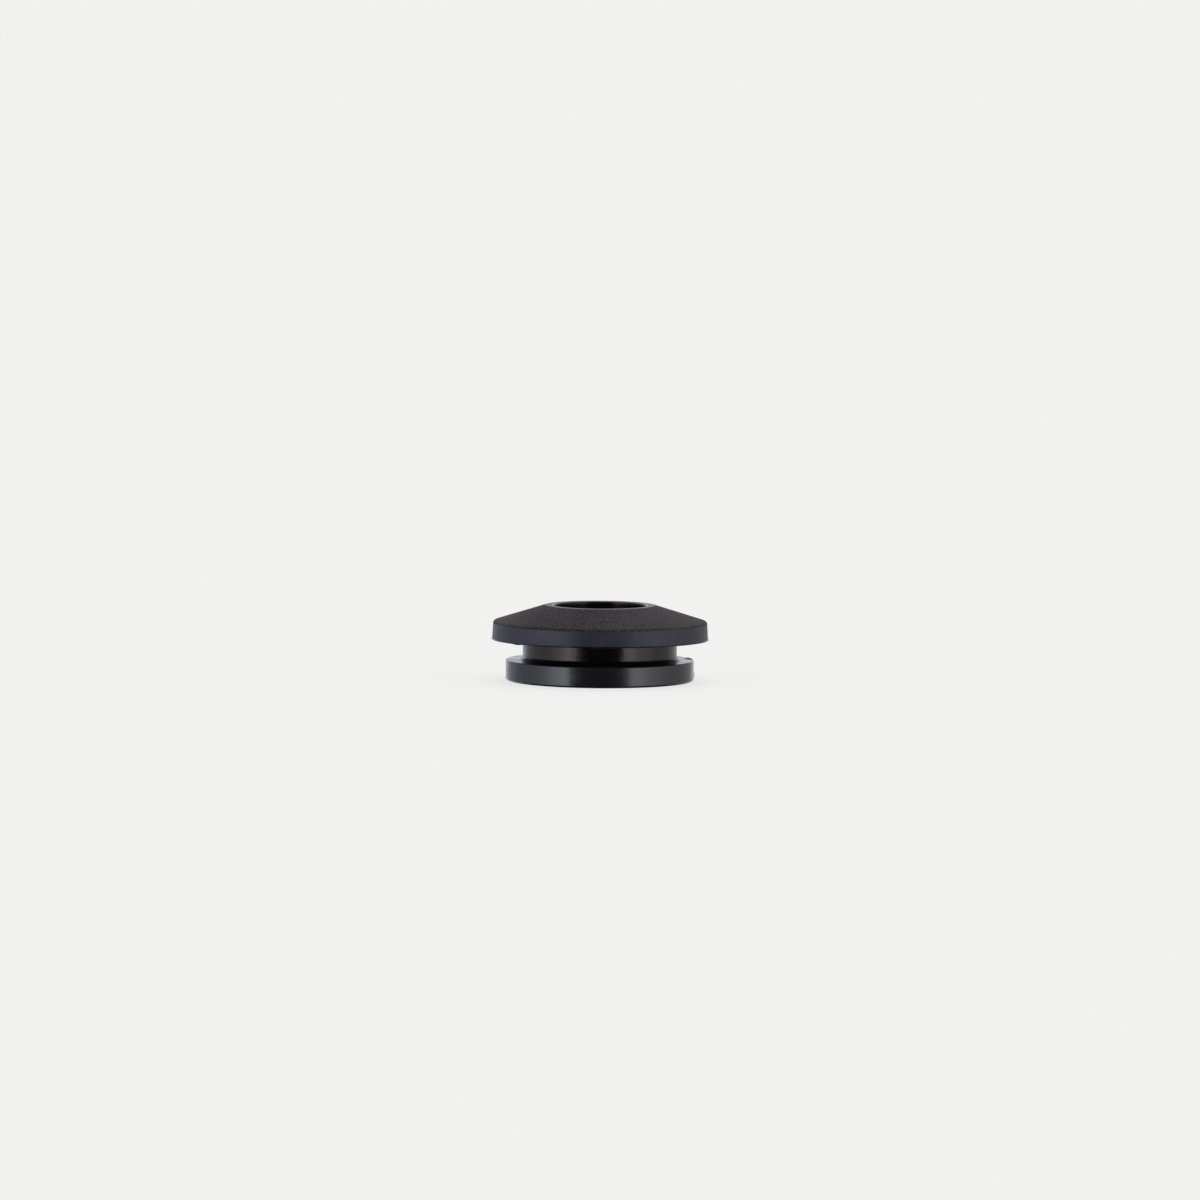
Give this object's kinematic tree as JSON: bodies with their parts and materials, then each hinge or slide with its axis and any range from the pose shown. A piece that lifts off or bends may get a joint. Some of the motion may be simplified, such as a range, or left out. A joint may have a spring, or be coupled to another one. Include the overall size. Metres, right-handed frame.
{
  "type": "rubber grommet",
  "caption": "Moulded rubber panel grommet with a conical upper flange, a snap-in neck groove, a smaller lower flange and a straight through bore.",
  "frame": {"origin": "centre of the flat underside of the lower flange, on the bore axis", "axes": "+Z along the bore axis, from the lower flange towards the conical upper flange; the part is round, so X and Y are free"},
  "size_m": [0.0282, 0.0282, 0.0098],
  "materials": {
    "rubber": "black moulded rubber, matte and finely grained on the cone and rim, satin to glossy on the neck and lower flange"
  },
  "bodies": {
    "root": {"grommet": "rubber"}
  },
  "joints": []
}
